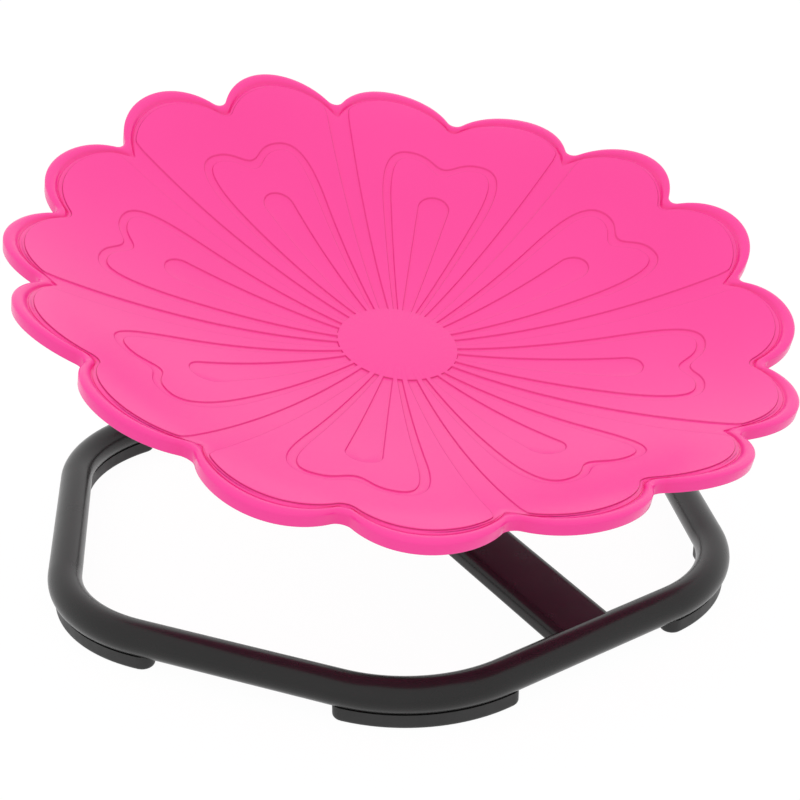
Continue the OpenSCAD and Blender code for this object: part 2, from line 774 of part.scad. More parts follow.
shell_faces = concat(
    [for (p = [0:petals - 1]) each concat(
        strip(line_ids(0, p), core_ids(p)),
        [for (k = [1:line_n - 1]) each strip(line_ids(k, p), line_ids(k - 1, p))],
        strip(outer_ids(p), line_ids(line_n - 1, p)),
        // ends of the slot and the grooves at the centre disc
        strip([line_id(1, p, whole_n), slot_top(p), line_id(1, p, 0)],
            [line_id(0, p, whole_n), core_ids(p)[0], line_id(0, p, 0)]),
        strip([line_id(2, p, 0), line_id(5, p, 0)], [line_id(3, p, 0), line_id(4, p, 0)]),
        strip([line_id(5, p, whole_n), line_id(2, p, whole_n)],
            [line_id(4, p, whole_n), line_id(3, p, whole_n)]),
        strip([line_id(6, p, 0), groove_top(p), line_id(6, (p + 1) % petals, whole_n)],
            [line_id(7, p, 0), groove_id(p, 0), line_id(7, (p + 1) % petals, whole_n)]))],
    [for (k = [0:len(disc_edge_ids) - 1])
        [disc_centre, disc_edge_ids[(k + 1) % len(disc_edge_ids)], disc_edge_ids[k]]],
    [for (k = [0:row_n - 2]) each strip(row_ids(k), row_ids(k + 1))],
    [for (c = [0:ring_n - 1]) [row_id(row_n - 1, c), row_id(row_n - 1, c + 1), under_at]]);

module seat_shell() {
    color(pink)
        difference() {
            union() {
                on_axis() rotate(seat_turn) polyhedron(shell_points, shell_faces);
                at_bosses() translate([0, 0, plate_top]) cylinder(d = boss_d, h = boss_h + seat_wall / 2);
            }
            at_bosses()
                translate([0, 0, plate_top - overrun])
                    cylinder(d = flange_screw_d + 2 * fit_gap, h = overrun + boss_h);
        }
}

base_ring();
crossbar();
pivot_post();
spindle();
bearing_spacer();
spindle_washer();
lock_nut();
inner_race(lower_z);  // lower_inner_race
inner_race(upper_z);  // upper_inner_race
for (k = [1:corner_count])
    foot(k);
foot_screws();
ball_cage(lower_z);  // lower_ball_cage
balls(lower_z);  // lower_balls
ball_cage(upper_z);  // upper_ball_cage
balls(upper_z);  // upper_balls
outer_race(lower_z);  // lower_outer_race
outer_race(upper_z);  // upper_outer_race
seals(lower_z);  // lower_seals
seals(upper_z);  // upper_seals
bearing_hub();
flange_plate();
flange_washers();
flange_screws();
seat_shell();
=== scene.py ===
"""Toddler spinning seat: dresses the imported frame, then sets the floor, the light and the camera."""
import json
import math

import bmesh
import bpy
import numpy as np
from mathutils import Matrix

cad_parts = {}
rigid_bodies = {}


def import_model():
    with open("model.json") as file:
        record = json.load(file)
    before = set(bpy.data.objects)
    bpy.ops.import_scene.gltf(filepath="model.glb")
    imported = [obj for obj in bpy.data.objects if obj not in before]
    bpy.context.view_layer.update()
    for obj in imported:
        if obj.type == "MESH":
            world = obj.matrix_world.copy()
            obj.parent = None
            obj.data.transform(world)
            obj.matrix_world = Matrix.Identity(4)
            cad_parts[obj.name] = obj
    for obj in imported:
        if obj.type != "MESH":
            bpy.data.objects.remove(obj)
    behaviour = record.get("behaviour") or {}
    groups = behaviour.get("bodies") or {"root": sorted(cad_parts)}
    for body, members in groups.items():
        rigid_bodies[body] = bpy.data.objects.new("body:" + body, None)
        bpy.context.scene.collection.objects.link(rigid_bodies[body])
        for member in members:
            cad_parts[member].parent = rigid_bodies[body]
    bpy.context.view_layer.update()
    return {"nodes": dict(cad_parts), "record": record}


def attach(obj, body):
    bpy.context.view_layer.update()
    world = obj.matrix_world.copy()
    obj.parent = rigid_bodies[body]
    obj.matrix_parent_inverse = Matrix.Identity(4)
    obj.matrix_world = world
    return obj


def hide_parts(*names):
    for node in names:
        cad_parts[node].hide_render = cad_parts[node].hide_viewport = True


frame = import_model()
nodes = frame["nodes"]
MM = 0.001

# Sizes in mm and degrees. They are the CAD source's own, apart from those that a comment gives to the scene.
# Floor ring
RING_SIDES = 6
RING_R = 280.0
TUBE_R = 12.5
BEND_R = 108.0
FOOT_DROP = 8.8
TUBE_Z = FOOT_DROP + TUBE_R
HALF_SIDE = math.radians(180 / RING_SIDES)
FLAT_R = RING_R * math.cos(HALF_SIDE)
CORNER_C = RING_R - BEND_R / math.cos(HALF_SIDE)
# Crossbar; its rounder upper edges are the scene's
BAR_W = 50.0
BAR_H = 15.0
BAR_CORNER = 4.0
BAR_TOP_EDGE = 7.5
BAR_SLOPE = 9.0
BAR_LIFT = 3.5
ARCH_R = 380.0
# Screws in the pads
FOOT_TURN = 1.9
FOOT_SCREW_ANGLE = 20.0
FOOT_SCREW_D = 4.0
FOOT_HEAD_D = 8.0
FOOT_HEAD_H = 2.4
FOOT_SINK = 3.6
FOOT_SCREW_REACH = 6.0
# Tilted axis and the seat's place on it
TILT = 15.0
AXIS_Z = 87.1
DISC_Z = 86.0
SEAT_TURN = 0.45
# Dish
PETALS = 8
PETAL = 360.0 / PETALS
PETAL_HALF = PETAL / 2
LOBE_HALF = PETAL / 4
WAVES = 4
SEAT_R = 291.5
LOBE_R = 53.0
NOTCH_R = 8.6
DISH_DEPTH = 69.7
ROLL_W = 41.5
RIM_DROP = 4.3
RIM_RISE = 1.6
WAVE_H = 10.45
DISC_R = 48.0
SEAT_WALL = 4.5
RELIEF = 1.1
PANEL_INSET = 15.6
CHANNEL_W = 3.0
BEAD_W = PANEL_INSET - CHANNEL_W
SKIRT_H = 11.4
SKIRT_WALL = 3.4
RIB_H = 8.0
SLOT_ANGLE = 4.3
SLOT_END_SHARE = 0.7129
GROOVE_OUT = 19.0
# The scene's plain disc, as the photo shows it: a little smaller and deeper than the solid's, fading outwards
DISC_EDGE = 45.3
CENTRE_SINK = 1.8
SINK_FADE = 5
# The scene's grooves between the petals and rounded corners of the petals' panels
GROOVE_IN = 6.85
CORNER_ROUND = 5.0
CORNER_PULL = 0.67
# The scene's rim: the channel's floor falls to a small step, then inset and rise of the bead over the dish's face
CHANNEL_SLOPE = 0.22
BEAD_LINE = [(11.95, -2.05), (11.65, -2.65), (11.1, -2.85), (10.4, -2.45), (9.5, -1.15), (8.4, -0.46),
             (6.9, -0.22), (5.3, -0.27), (3.5, -0.73), (1.9, -1.39), (0.76, -2.47)]
BEAD_END = 0.3 * SKIRT_H
# Painted shade along the bead's inner foot: the inset where it is darkest, its strength and its width
BEAD_FOOT = 11.75
BEAD_SHADE = 0.45
BEAD_SHADE_W = 0.5
CLEFT_FROM = 0.5
CLEFT_R = 0.8
RIM_TRIM = 0.45
RIM_ROUND = 0.8
SKIRT_BACK = 1.25 * SKIRT_WALL
# Screws under the dish
BOSS_R = 50.0
BOSS_COUNT = 6
BOSS_D = 15.0
BOSS_H = 10.0
PAD_R = BOSS_R + BOSS_D / 2 + SEAT_WALL
PAD_Z = DISC_Z - SEAT_WALL
PLATE_TOP = PAD_Z - BOSS_H
PLATE_T = 4.0
FLANGE_SCREW_D = 5.0
FLANGE_SCREW_REACH = 8.5
FLANGE_HEAD_D = 9.5
FLANGE_HEAD_H = 3.2
FLANGE_WASHER_T = 1.2
HEAD_Z = PLATE_TOP - PLATE_T - FLANGE_WASHER_T
# The scene's screw bosses: radius over the boss's and height over the pad along the foot, then edge and hole
BOSS_FOOT = [(1.2, 0.8), (1.2, 0.4), (0.4, -0.1), (0.0, -1.0)]
BOSS_EDGE = 0.4
BOSS_HOLE_R = FLANGE_SCREW_D / 2 + 0.05
BOSS_HOLE_TOP = PAD_Z - 0.2
# The scene's screw heads: shares of the head's radius and of its height over the face, down its dome
HEAD_DOME = [(1.0, 0.55), (0.95, 0.28), (0.84, 0.1), (0.7, 0.03)]
# Their cross recess: shares of the head's width along and across an arm, of its height, and the taper inwards
CROSS_ARM = 0.34
CROSS_WIDE = 0.085
CROSS_DEEP = 0.55
CROSS_TAPER = 0.3
# Points closer than this are one, and edges shorter than this go
WELD = 0.004
SLIVER = 0.0001
# Faces that meet at a larger angle than this keep a sharp edge
DISH_SHARP = 40.0
TUBE_SHARP = 60.0
BAR_SHARP = 50.0
SCREW_SHARP = 35.0
# Counts of sides, of steps round a bend and of points along an arc
TUBE_SIDES = 56
BEND_STEPS = 28
BAR_CORNER_N = 13
ARCH_N = 25
ARM_N = 14
LATHE_SIDES = 36
SCREW_SIDES = 48
RIM_ROUND_N = 5
BEAD_STEPS = 2


class Sock:
    """A node's output that takes part in sums, so that a tree reads as a formula."""

    def __init__(self, graph, out):
        self.graph = graph
        self.out = out

    def _op(self, op, a, b):
        return self.graph.node("ShaderNodeMath", {0: a, 1: b}, operation=op)

    def __add__(self, o):
        return self._op("ADD", self, o)

    __radd__ = __add__

    def __mul__(self, o):
        return self._op("MULTIPLY", self, o)

    __rmul__ = __mul__

    def __truediv__(self, o):
        return self._op("DIVIDE", self, o)

    def __rtruediv__(self, o):
        return self._op("DIVIDE", o, self)


class Graph:
    """A node tree built one node at a time, for materials and for geometry."""

    def __init__(self, tree):
        self.tree = tree

    def put(self, socket, value):
        if isinstance(value, Sock):
            self.tree.links.new(value.out, socket)
        else:
            socket.default_value = (*value, 1.0) if socket.type == "RGBA" else value

    def node(self, kind, inputs=None, out=0, **props):
        n = self.tree.nodes.new(kind)
        for key, value in props.items():
            setattr(n, key, value)
        for key, value in (inputs or {}).items():
            self.put(n.inputs[key], value)
        return Sock(self, n.outputs[out])


class Mat(Graph):
    """A material with one Principled shader."""

    def __init__(self, name, **fixed):
        self.m = bpy.data.materials.new(name)
        self.m.use_nodes = True
        super().__init__(self.m.node_tree)
        self.tree.nodes.clear()
        out = self.tree.nodes.new("ShaderNodeOutputMaterial")
        self.bsdf = self.tree.nodes.new("ShaderNodeBsdfPrincipled")
        self.tree.links.new(self.bsdf.outputs[0], out.inputs["Surface"])
        self.set(**fixed)

    def set(self, **values):
        for name, value in values.items():
            self.put(self.bsdf.inputs[name.replace("_", " ")], value)
        return self

    def noise(self, scale, detail=3.0, stretch=(1.0, 1.0, 1.0)):
        at = self.node("ShaderNodeTexCoord", out="Object")
        at = self.node("ShaderNodeMapping", {"Vector": at, "Scale": stretch})
        return self.node("ShaderNodeTexNoise", {"Vector": at, "Scale": scale, "Detail": detail})

    def mark(self, name):
        return self.node("ShaderNodeAttribute", out="Fac", attribute_name=name)

    def mix(self, fac, a, b):
        return self.node("ShaderNodeMix", {0: fac, 6: a, 7: b}, out=2, data_type="RGBA", clamp_factor=True)

    def span(self, value, to_lo=0.0, to_hi=1.0, lo=0.3, hi=0.7):
        return self.node("ShaderNodeMapRange", {0: value, 1: lo, 2: hi, 3: to_lo, 4: to_hi})

    def bump(self, height, strength, depth):
        return self.node("ShaderNodeBump", {"Height": height, "Strength": strength, "Distance": depth})


def pink_plastic():
    """Glossy moulded plastic with a fine skin, and painted shade that makes it darker along the walls and foot of
    the moulded relief.
    """
    full = (0.955, 0.038, 0.318)
    light = (0.975, 0.044, 0.333)
    # Colours and shares of the painted shade in the relief's creases
    soft_shade = (0.78, 0.018, 0.225)
    deep_shade = (0.60, 0.012, 0.165)
    soft_shade_share = 0.75
    deep_shade_from = 0.75
    m = Mat("pink_plastic", IOR=1.46)
    base = m.mix(m.span(m.noise(scale=6.0, detail=2.0)), full, light)
    # Painted shade: the groove attribute darkens the pink to a soft dark line along the relief's walls, and to a
    # deeper one where it is strongest
    groove = m.mark("groove")
    base = m.mix(groove * soft_shade_share, base, soft_shade)
    base = m.mix(m.span(groove, lo=deep_shade_from, hi=1.0), base, deep_shade)
    rough = m.span(m.noise(scale=9.0), 0.235, 0.265)
    skin = m.bump(m.noise(scale=420.0, detail=2.0), strength=0.012, depth=0.0002)
    return m.set(Base_Color=base, Roughness=rough, Normal=skin).m


def charcoal_coat():
    """Powder coat on steel, with its slight orange peel."""
    dark = (0.0100, 0.0100, 0.0098)
    light = (0.0120, 0.0120, 0.0117)
    m = Mat("charcoal_coat", IOR=1.38)
    base = m.mix(m.span(m.noise(scale=14.0)), dark, light)
    rough = m.span(m.noise(scale=60.0), 0.23, 0.28)
    peel = m.bump(m.noise(scale=900.0, detail=2.0), strength=0.08, depth=0.0002)
    return m.set(Base_Color=base, Roughness=rough, Normal=peel).m


def rubber(name, shade, rough):
    """Moulded rubber with a dull, finely grained skin."""
    paler = 1.3
    spread = 0.05
    m = Mat(name, IOR=1.5)
    base = m.mix(m.span(m.noise(scale=30.0)), (shade,) * 3, (shade * paler,) * 3)
    sheen = m.span(m.noise(scale=120.0), rough - spread, rough + spread)
    grain = m.bump(m.noise(scale=1500.0), strength=0.12, depth=0.0003)
    return m.set(Base_Color=base, Roughness=sheen, Normal=grain).m


def metal(name, dark, light, rough, stretch=(1.0, 1.0, 1.0)):
    """Bare or plated metal with fine tool marks, which the stretch draws into lines."""
    smoother = 0.06
    rougher = 0.08
    m = Mat(name, Metallic=1.0)
    lines = m.noise(scale=260.0, stretch=stretch)
    base = m.mix(m.span(m.noise(scale=45.0)), dark, light)
    sheen = m.span(lines, rough - smoother, rough + rougher)
    return m.set(Base_Color=base, Roughness=sheen, Normal=m.bump(lines, strength=0.06, depth=0.0001)).m


FINISH = {
    "seat_plastic": pink_plastic(),
    "frame_coat": charcoal_coat(),
    "foot_rubber": rubber("foot_rubber", 0.0105, 0.50),
    "seal_rubber": rubber("seal_rubber", 0.008, 0.55),
    "bearing_steel": metal("ground_steel", (0.58, 0.58, 0.60), (0.66, 0.66, 0.68), 0.24, (1.0, 1.0, 14.0)),
    "zinc_plate": metal("zinc_plate", (0.56, 0.58, 0.62), (0.70, 0.70, 0.66), 0.33),
    "cage_brass": metal("cage_brass", (0.62, 0.43, 0.16), (0.72, 0.53, 0.22), 0.30, (1.0, 1.0, 8.0)),
}
SLOT_OF = {part["node"]: part["material_slot"] for part in frame["record"]["subparts"]}
for name, obj in nodes.items():
    obj.data.materials.clear()
    obj.data.materials.append(FINISH[SLOT_OF[name]])


class Geo(Graph):
    """A Geometry Nodes tree with named inputs, run on a seed mesh and baked to a plain mesh."""

    KINDS = {int: "NodeSocketInt", float: "NodeSocketFloat"}

    def __init__(self, name, **inputs):
        super().__init__(bpy.data.node_groups.new(name, "GeometryNodeTree"))
        face = self.tree.interface
        face.new_socket("Geometry", in_out="INPUT", socket_type="NodeSocketGeometry")
        face.new_socket("Geometry", in_out="OUTPUT", socket_type="NodeSocketGeometry")
        kinds = {key: self.KINDS[kind] for key, kind in inputs.items()}
        kinds["Material"] = "NodeSocketMaterial"
        self.ids = {}
        for key, kind in kinds.items():
            self.ids[key] = face.new_socket(key, in_out="INPUT", socket_type=kind).identifier
        self.start = self.tree.nodes.new("NodeGroupInput")
        self.end = self.tree.nodes.new("NodeGroupOutput")

    def given(self, key):
        return Sock(self, self.start.outputs[key])

    def give(self, geometry):
        real = self.node("GeometryNodeRealizeInstances", {"Geometry": geometry})
        welded = self.node("GeometryNodeMergeByDistance", {"Geometry": real, "Distance": WELD * MM})
        made = self.node("GeometryNodeSetMaterial", {"Geometry": welded, "Material": self.given("Material")})
        self.put(self.end.inputs["Geometry"], made)

    def bake(self, seed, **values):
        obj = bpy.data.objects.new("seed", seed)
        bpy.context.scene.collection.objects.link(obj)
        mod = obj.modifiers.new("nodes", "NODES")
        mod.node_group = self.tree
        for key, value in values.items():
            mod[self.ids[key]] = value
        mesh = bpy.data.meshes.new_from_object(obj.evaluated_get(bpy.context.evaluated_depsgraph_get()))
        bpy.data.objects.remove(obj)
        bpy.data.meshes.remove(seed)
        return mesh


def round_pattern():
    """Repeats the seed mesh evenly round the z axis."""
    g = Geo("round_pattern", Count=int)
    spots = g.node("GeometryNodePoints", {"Count": g.given("Count")})
    turn = g.node("GeometryNodeInputIndex") * (2 * math.pi) / g.given("Count")
    spin = g.node("ShaderNodeCombineXYZ", {"Z": turn})
    seed = g.given("Geometry")
    g.give(g.node("GeometryNodeInstanceOnPoints", {"Points": spots, "Instance": seed, "Rotation": spin}))
    return g


def bent_tube():
    """A round tube bent to a polygon with rounded corners, the first corner on the x axis."""
    g = Geo("bent_tube", Corners=int, Reach=float, Bend=float, Radius=float, Level=float)
    circle = "GeometryNodeCurvePrimitiveCircle"
    path = g.node(circle, {"Resolution": g.given("Corners"), "Radius": g.given("Reach")})
    rounding = {"Curve": path, "Radius": g.given("Bend"), "Count": BEND_STEPS}
    path = g.node("GeometryNodeFilletCurve", rounding, mode="POLY")
    section = g.node(circle, {"Resolution": TUBE_SIDES, "Radius": g.given("Radius")})
    tube = g.node("GeometryNodeCurveToMesh", {"Curve": path, "Profile Curve": section})
    level = g.node("ShaderNodeCombineXYZ", {"Z": g.given("Level")})
    g.give(g.node("GeometryNodeTransform", {"Geometry": tube, "Translation": level}))
    return g


ROUND = round_pattern()
TUBE = bent_tube()


class Patch:
    """Points in mm, faces and marks of painted shade along the grooves of one mesh, gathered block by block."""

    def __init__(self):
        self.points = []
        self.faces = []
        self.marks = []

    def grid(self, rows, marks=None, wrap=False):
        """Quads over rows of points; wrap joins the last column to the first."""
        rows = np.asarray(rows)
        count, cols = rows.shape[:2]
        start = len(self.points)
        self.points.extend(rows.reshape(-1, 3))
        self.marks.extend(np.zeros(count * cols) if marks is None else np.asarray(marks).ravel())
        for r in range(count - 1):
            for c in range(cols if wrap else cols - 1):
                d = (c + 1) % cols
                a = start + r * cols
                self.faces.append((a + c, a + d, a + cols + d, a + cols + c))

    def fan(self, row, tip, wrap=False):
        """Triangles from a row of points to one point."""
        start = len(self.points)
        n = len(row)
        self.points.extend([*row, tip])
        self.marks.extend(np.zeros(n + 1))
        for c in range(n if wrap else n - 1):
            self.faces.append((start + c, start + (c + 1) % n, start + n))

    def mesh(self, name):
        mesh = bpy.data.meshes.new(name)
        mesh.from_pydata([tuple(p) for p in np.asarray(self.points) * MM], [], self.faces)
        # The groove attribute carries the marks of painted shade along the relief's walls and the rim's channel
        groove = mesh.attributes.new("groove", "FLOAT", "POINT")
        groove.data.foreach_set("value", np.asarray(self.marks, dtype=np.float32))
        return mesh


def piece(name, meshes, slot, body, stands_for, sharp, place=None):
    """Joins meshes to one finished piece that rides a body and stands for a CAD node."""
    bm = bmesh.new()
    for mesh in meshes:
        bm.from_mesh(mesh)
    bmesh.ops.remove_doubles(bm, verts=bm.verts, dist=WELD * MM)
    bmesh.ops.dissolve_degenerate(bm, dist=SLIVER * MM, edges=bm.edges)
    bmesh.ops.recalc_face_normals(bm, faces=bm.faces)
    if place is not None:
        bm.transform(place)
    joined = bpy.data.meshes.new(name)
    bm.to_mesh(joined)
    bm.free()
    joined.polygons.foreach_set("use_smooth", [True] * len(joined.polygons))
    joined.set_sharp_from_angle(angle=math.radians(sharp))
    joined.materials.append(FINISH[slot])
    obj = bpy.data.objects.new(name, joined)
    bpy.context.scene.collection.objects.link(obj)
    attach(obj, body)
    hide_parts(stands_for)


def polar(r, a):
    return np.stack([r * np.cos(np.radians(a)), r * np.sin(np.radians(a))], -1)


def turned(p, a):
    c = math.cos(math.radians(a))
    s = math.sin(math.radians(a))
    return np.stack([p[..., 0] * c - p[..., 1] * s, p[..., 0] * s + p[..., 1] * c], -1)


def level_ring(at, xy, z):
    """Flat points about a centre, at one height."""
    return np.concatenate([np.asarray(at) + xy, np.full((len(xy), 1), z)], -1)


# The dish's law: a shallow bowl that flattens towards its rim, with a wave that grows from the centre disc out.
def bowl(r):
    return np.maximum(r * r - DISC_R ** 2, 0) / (SEAT_R ** 2 - DISC_R ** 2)


def face_z(xy):
    r = np.hypot(xy[..., 0], xy[..., 1])
    a = np.arctan2(xy[..., 1], xy[..., 0])
    roll = np.maximum(r - SEAT_R + ROLL_W, 0) / ROLL_W
    share = bowl(r)
    middle = CENTRE_SINK * np.maximum(1 - share, 0) ** SINK_FADE
    wave = RIM_RISE + WAVE_H * np.cos(WAVES * a)
    return DISC_Z + DISH_DEPTH * share - middle - RIM_DROP * roll ** 2 + share ** 2 * wave


def lift(xy, drop):
    """Flat points raised to the dish's face, less a drop."""
    return np.concatenate([xy, (face_z(xy) - drop)[..., None]], -1)


# Outline at an inset from the rim: a round lobe in each half petal, with fillets in the notches.
def lobe_c(inset):
    return SEAT_R - LOBE_R - inset


def fillet_c(inset, r=NOTCH_R):
    h = math.radians(LOBE_HALF)
    c = lobe_c(inset)
    return c * math.cos(h) + math.sqrt((LOBE_R + r) ** 2 - (c * math.sin(h)) ** 2)


def lobe_end(inset, r=NOTCH_R):
    h = math.radians(LOBE_HALF)
    c = fillet_c(inset, r)
    return math.degrees(math.atan2(c * math.sin(h), c * math.cos(h) - lobe_c(inset)))


def lobe_arc(inset, angles):
    return turned(np.array([lobe_c(inset), 0.0]) + LOBE_R * polar(1.0, angles), LOBE_HALF)


def fillet_arc(inset, shares, r=NOTCH_R):
    """Half of the fillet between two lobes, from the notch on the x axis."""
    b = np.radians(shares * (lobe_end(inset, r) - LOBE_HALF))
    return np.stack([fillet_c(inset, r) - r * np.cos(b), r * np.sin(b)], -1)


def cleft_r(inset):
    """Fillet between two petals: the bead's inner foot comes to a point there."""
    foot = np.clip((inset / BEAD_W - CLEFT_FROM) / (1 - CLEFT_FROM), 0, 1)
    return NOTCH_R + (CLEFT_R - NOTCH_R) * foot


# Columns of half a petal: along its side, then round the fillet, the lobe and the fillet of its rim
FILLET_N = 8
LOBE_N = 34
EDGE_N = LOBE_N + 2 * FILLET_N
SIDE_N = 34
HALF_N = SIDE_N + EDGE_N


def edge_half(inset):
    """Half a petal's outline, from the notch between two petals to the notch in the petal's middle."""
    share = np.linspace(0, 1, FILLET_N + 1)
    cleft = cleft_r(inset)
    first = turned(fillet_arc(inset, share, cleft) * [1, -1], PETAL_HALF)
    arc = lobe_arc(inset, np.linspace(lobe_end(inset, cleft), -lobe_end(inset), LOBE_N + 1))
    return np.concatenate([first, arc[1:-1], fillet_arc(inset, share[::-1])])


def both_ways(half):
    """Values along half a petal, then back along the other half."""
    return np.concatenate([half, half[-2::-1]])


def whole(half):
    """A half-petal line and its mirror, from one side of the petal round to the other."""
    return np.concatenate([half, half[-2::-1] * [1, -1]])


# Lines of the petal relief, each cut into the same number of columns.
def run_of(line):
    return np.concatenate([[0], np.cumsum(np.hypot(*np.diff(line, axis=0).T))])


def resample(line, at):
    """Points at given lengths along a dense line."""
    return np.stack([np.interp(at, run_of(line), line[:, k]) for k in (0, 1)], -1)


# The relief starts at the disc's edge within these lengths, to these shares of its depth and marks of painted
# shade.
START_AT = np.array([0.0, 0.12, 0.28, 0.46, 0.7, 1.2, 2.5])
START_DEPTH = np.array([0.0, 0.12, 0.5, 0.88, 1.0, 1.0, 1.0])
START_SHADE = np.array([0.0, 0.75, 0.85, 0.85, 0.6, 0.0, 0.0])


def columns(side_len, whole_len):
    """Lengths of a line's columns: close together at the centre disc, even along the side and round the end."""
    far = np.linspace(START_AT[-1], side_len, SIDE_N - len(START_AT) + 2)
    return np.concatenate([START_AT, far[1:], np.linspace(side_len, whole_len, EDGE_N + 1)[1:]])


def half_line(dense, corner):
    """A dense half-petal line, cut into the shared columns; its side ends at the corner's point number."""
    run = run_of(dense)
    return resample(dense, columns(run[corner], run[-1]))


# Points of the dense lines
SIDE_POINTS = 200
SLOT_END_POINTS = 120
SHOULDER_POINTS = 160
DIP_POINTS = 100
LOBE_POINTS = 300
FILLET_POINTS = 60
CORNER_POINTS = 30


def bezier(points, n):
    t = np.linspace(0, 1, n)[:, None]
    a, b, c, d = (np.asarray(p, float) for p in points)
    return (1 - t) ** 3 * a + 3 * t * (1 - t) ** 2 * b + 3 * t * t * (1 - t) * c + t ** 3 * d


def straight(a, b):
    return np.asarray(a) + (np.asarray(b) - np.asarray(a)) * np.linspace(0, 1, SIDE_POINTS)[:, None]


PANEL_NOTCH = fillet_c(PANEL_INSET) - NOTCH_R
SLOT_C = PANEL_NOTCH * SLOT_END_SHARE / (1 + math.sin(math.radians(SLOT_ANGLE)))


def slot_line():
    """The slot in a petal's middle: a wedge from the disc with a round end."""
    half = math.radians(SLOT_ANGLE)
    side = straight(polar(DISC_EDGE, SLOT_ANGLE), polar(SLOT_C * math.cos(half), SLOT_ANGLE))
    round_end = polar(SLOT_C * math.sin(half), np.linspace(90 + SLOT_ANGLE, 0, SLOT_END_POINTS))
    return half_line(np.concatenate([side, np.array([SLOT_C, 0]) + round_end[1:]]), len(side) - 1)


# The two edges of the heart-shaped groove: angles at the disc and at the end of the straight side, share of the
# petal's length and angle of the peak, share of the dip in the middle, and how far the shoulder stands out.
INNER_HEART = {"start_angle": 8.74, "side_angle": 12.0, "peak": (0.8632, 6.84), "dip": 0.8107, "shoulder": 0.5}
OUTER_HEART = {"start_angle": 12.95, "side_angle": 14.2, "peak": (0.8867, 6.66), "dip": 0.8412, "shoulder": 0.77}
# Both: share of the petal's length at the end of the straight side, and how far the curves' handles reach
HEART_SIDE = 0.66
SIDE_PULL = 0.38
PEAK_PULL = 0.45
DIP_PULL = 0.30


def heart_line(start_angle, side_angle, peak, dip, shoulder):
    """One edge of the heart-shaped groove round the slot: a straight side, a shoulder and a dip to the middle."""
    start = polar(DISC_EDGE, start_angle)
    side = polar(PANEL_NOTCH * HEART_SIDE, side_angle)
    x, y = polar(PANEL_NOTCH * peak[0], peak[1])
    low = PANEL_NOTCH * dip
    flank = straight(start, side)
    over = bezier([side, side + SIDE_PULL * (side - start), (x, y * (1 + shoulder)), (x, y)], SHOULDER_POINTS)
    down = bezier([(x, y), (x, y * PEAK_PULL), (low, y * DIP_PULL), (low, 0.0)], DIP_POINTS)
    return half_line(np.concatenate([flank, over[1:], down[1:]]), len(flank) - 1)


def panel_line():
    """A petal's own edge: its side along the groove between petals, a rounded corner and the rim's lobes."""
    half = math.radians(PETAL_HALF)
    start = polar(DISC_EDGE, PETAL_HALF - math.degrees(math.asin(GROOVE_IN / 2 / DISC_EDGE)))
    rim = polar(PANEL_NOTCH, PETAL_HALF) + GROOVE_OUT / 2 * np.array([math.sin(half), -math.cos(half)])
    # The side meets the lobe's circle at the corner
    c = turned(np.array([lobe_c(PANEL_INSET), 0.0]), LOBE_HALF)
    d = rim - start
    p = start - c
    t = (-(p @ d) + math.sqrt((p @ d) ** 2 - (d @ d) * (p @ p - LOBE_R ** 2))) / (d @ d)
    corner = start + t * d
    q = turned(corner - c, -LOBE_HALF)
    from_angle = math.degrees(math.atan2(q[1], q[0]))
    side = straight(start, corner)
    arc = lobe_arc(PANEL_INSET, np.linspace(from_angle, -lobe_end(PANEL_INSET), LOBE_POINTS))
    last = fillet_arc(PANEL_INSET, np.linspace(1, 0, FILLET_POINTS))
    dense = np.concatenate([side, arc[1:], last[1:]])
    # The corner is rounded over the same length of both lines
    run = run_of(dense)
    turn_at = run[len(side) - 1]
    a = resample(dense, turn_at - CORNER_ROUND)
    b = resample(dense, turn_at + CORNER_ROUND)
    before = dense[run < turn_at - CORNER_ROUND]
    after = dense[run > turn_at + CORNER_ROUND]
    bend = bezier([a, a + (corner - a) * CORNER_PULL, b + (corner - b) * CORNER_PULL, b], CORNER_POINTS)
    return half_line(np.concatenate([before, bend, after]), len(before) + len(bend) // 2)


def normals(line):
    """Unit normals that point away from the petal's middle line."""
    t = np.gradient(line, axis=0)
    t[-1] = [0, -1]
    t /= np.hypot(t[:, 0], t[:, 1])[:, None]
    return np.stack([-t[:, 1], t[:, 0]], -1)


# A relief wall's section: offset across the line in mm, share of the relief's depth and mark of painted shade.
WALL = [(-0.85, 0.0, 0.0), (-0.6, 0.0, 0.3), (-0.38, 0.02, 0.72), (-0.15, 0.2, 0.7), (0.0, 0.5, 0.65),
        (0.12, 0.8, 0.65), (0.28, 0.97, 0.5), (0.45, 1.0, 0.0)]
# The same for the petals' outer edge, with one mark of painted shade along the rim and another along the petal's
# sides.
EDGE_WALL = [(-0.85, 0.0, 0.0, 0.0), (-0.6, 0.0, 0.0, 0.3), (-0.38, 0.02, 0.1, 0.7), (-0.15, 0.2, 0.7, 0.7),
             (0.0, 0.5, 1.0, 0.7), (0.12, 0.8, 1.0, 0.7), (0.28, 0.96, 0.9, 0.5), (0.6, 1.0, 0.2, 0.1),
             (1.1, 1.0, 0.0, 0.0), (1.8, 1.0, 0.0, 0.0)]


def wall(line, down):
    """Rows of a wall that goes down, or up, as seen from the petal's middle."""
    across = normals(line)
    section = WALL if down else [(-o, d, m) for o, d, m in WALL[::-1]]
    return [(line + o * across, d, m) for o, d, m in section]


def edge_wall(line):
    """Rows of the wall at the petal's outer edge."""
    across = normals(line)
    side = both_ways(np.arange(HALF_N + 1) <= SIDE_N)
    return [(line + o * across, d, np.where(side, at_side, at_rim)) for o, d, at_rim, at_side in EDGE_WALL]


# Share of the slot at which the middle row's side ends, and share of a petal's side from which its grooves fall.
CORE_SIDE = 0.8
FALL_FROM = 0.6


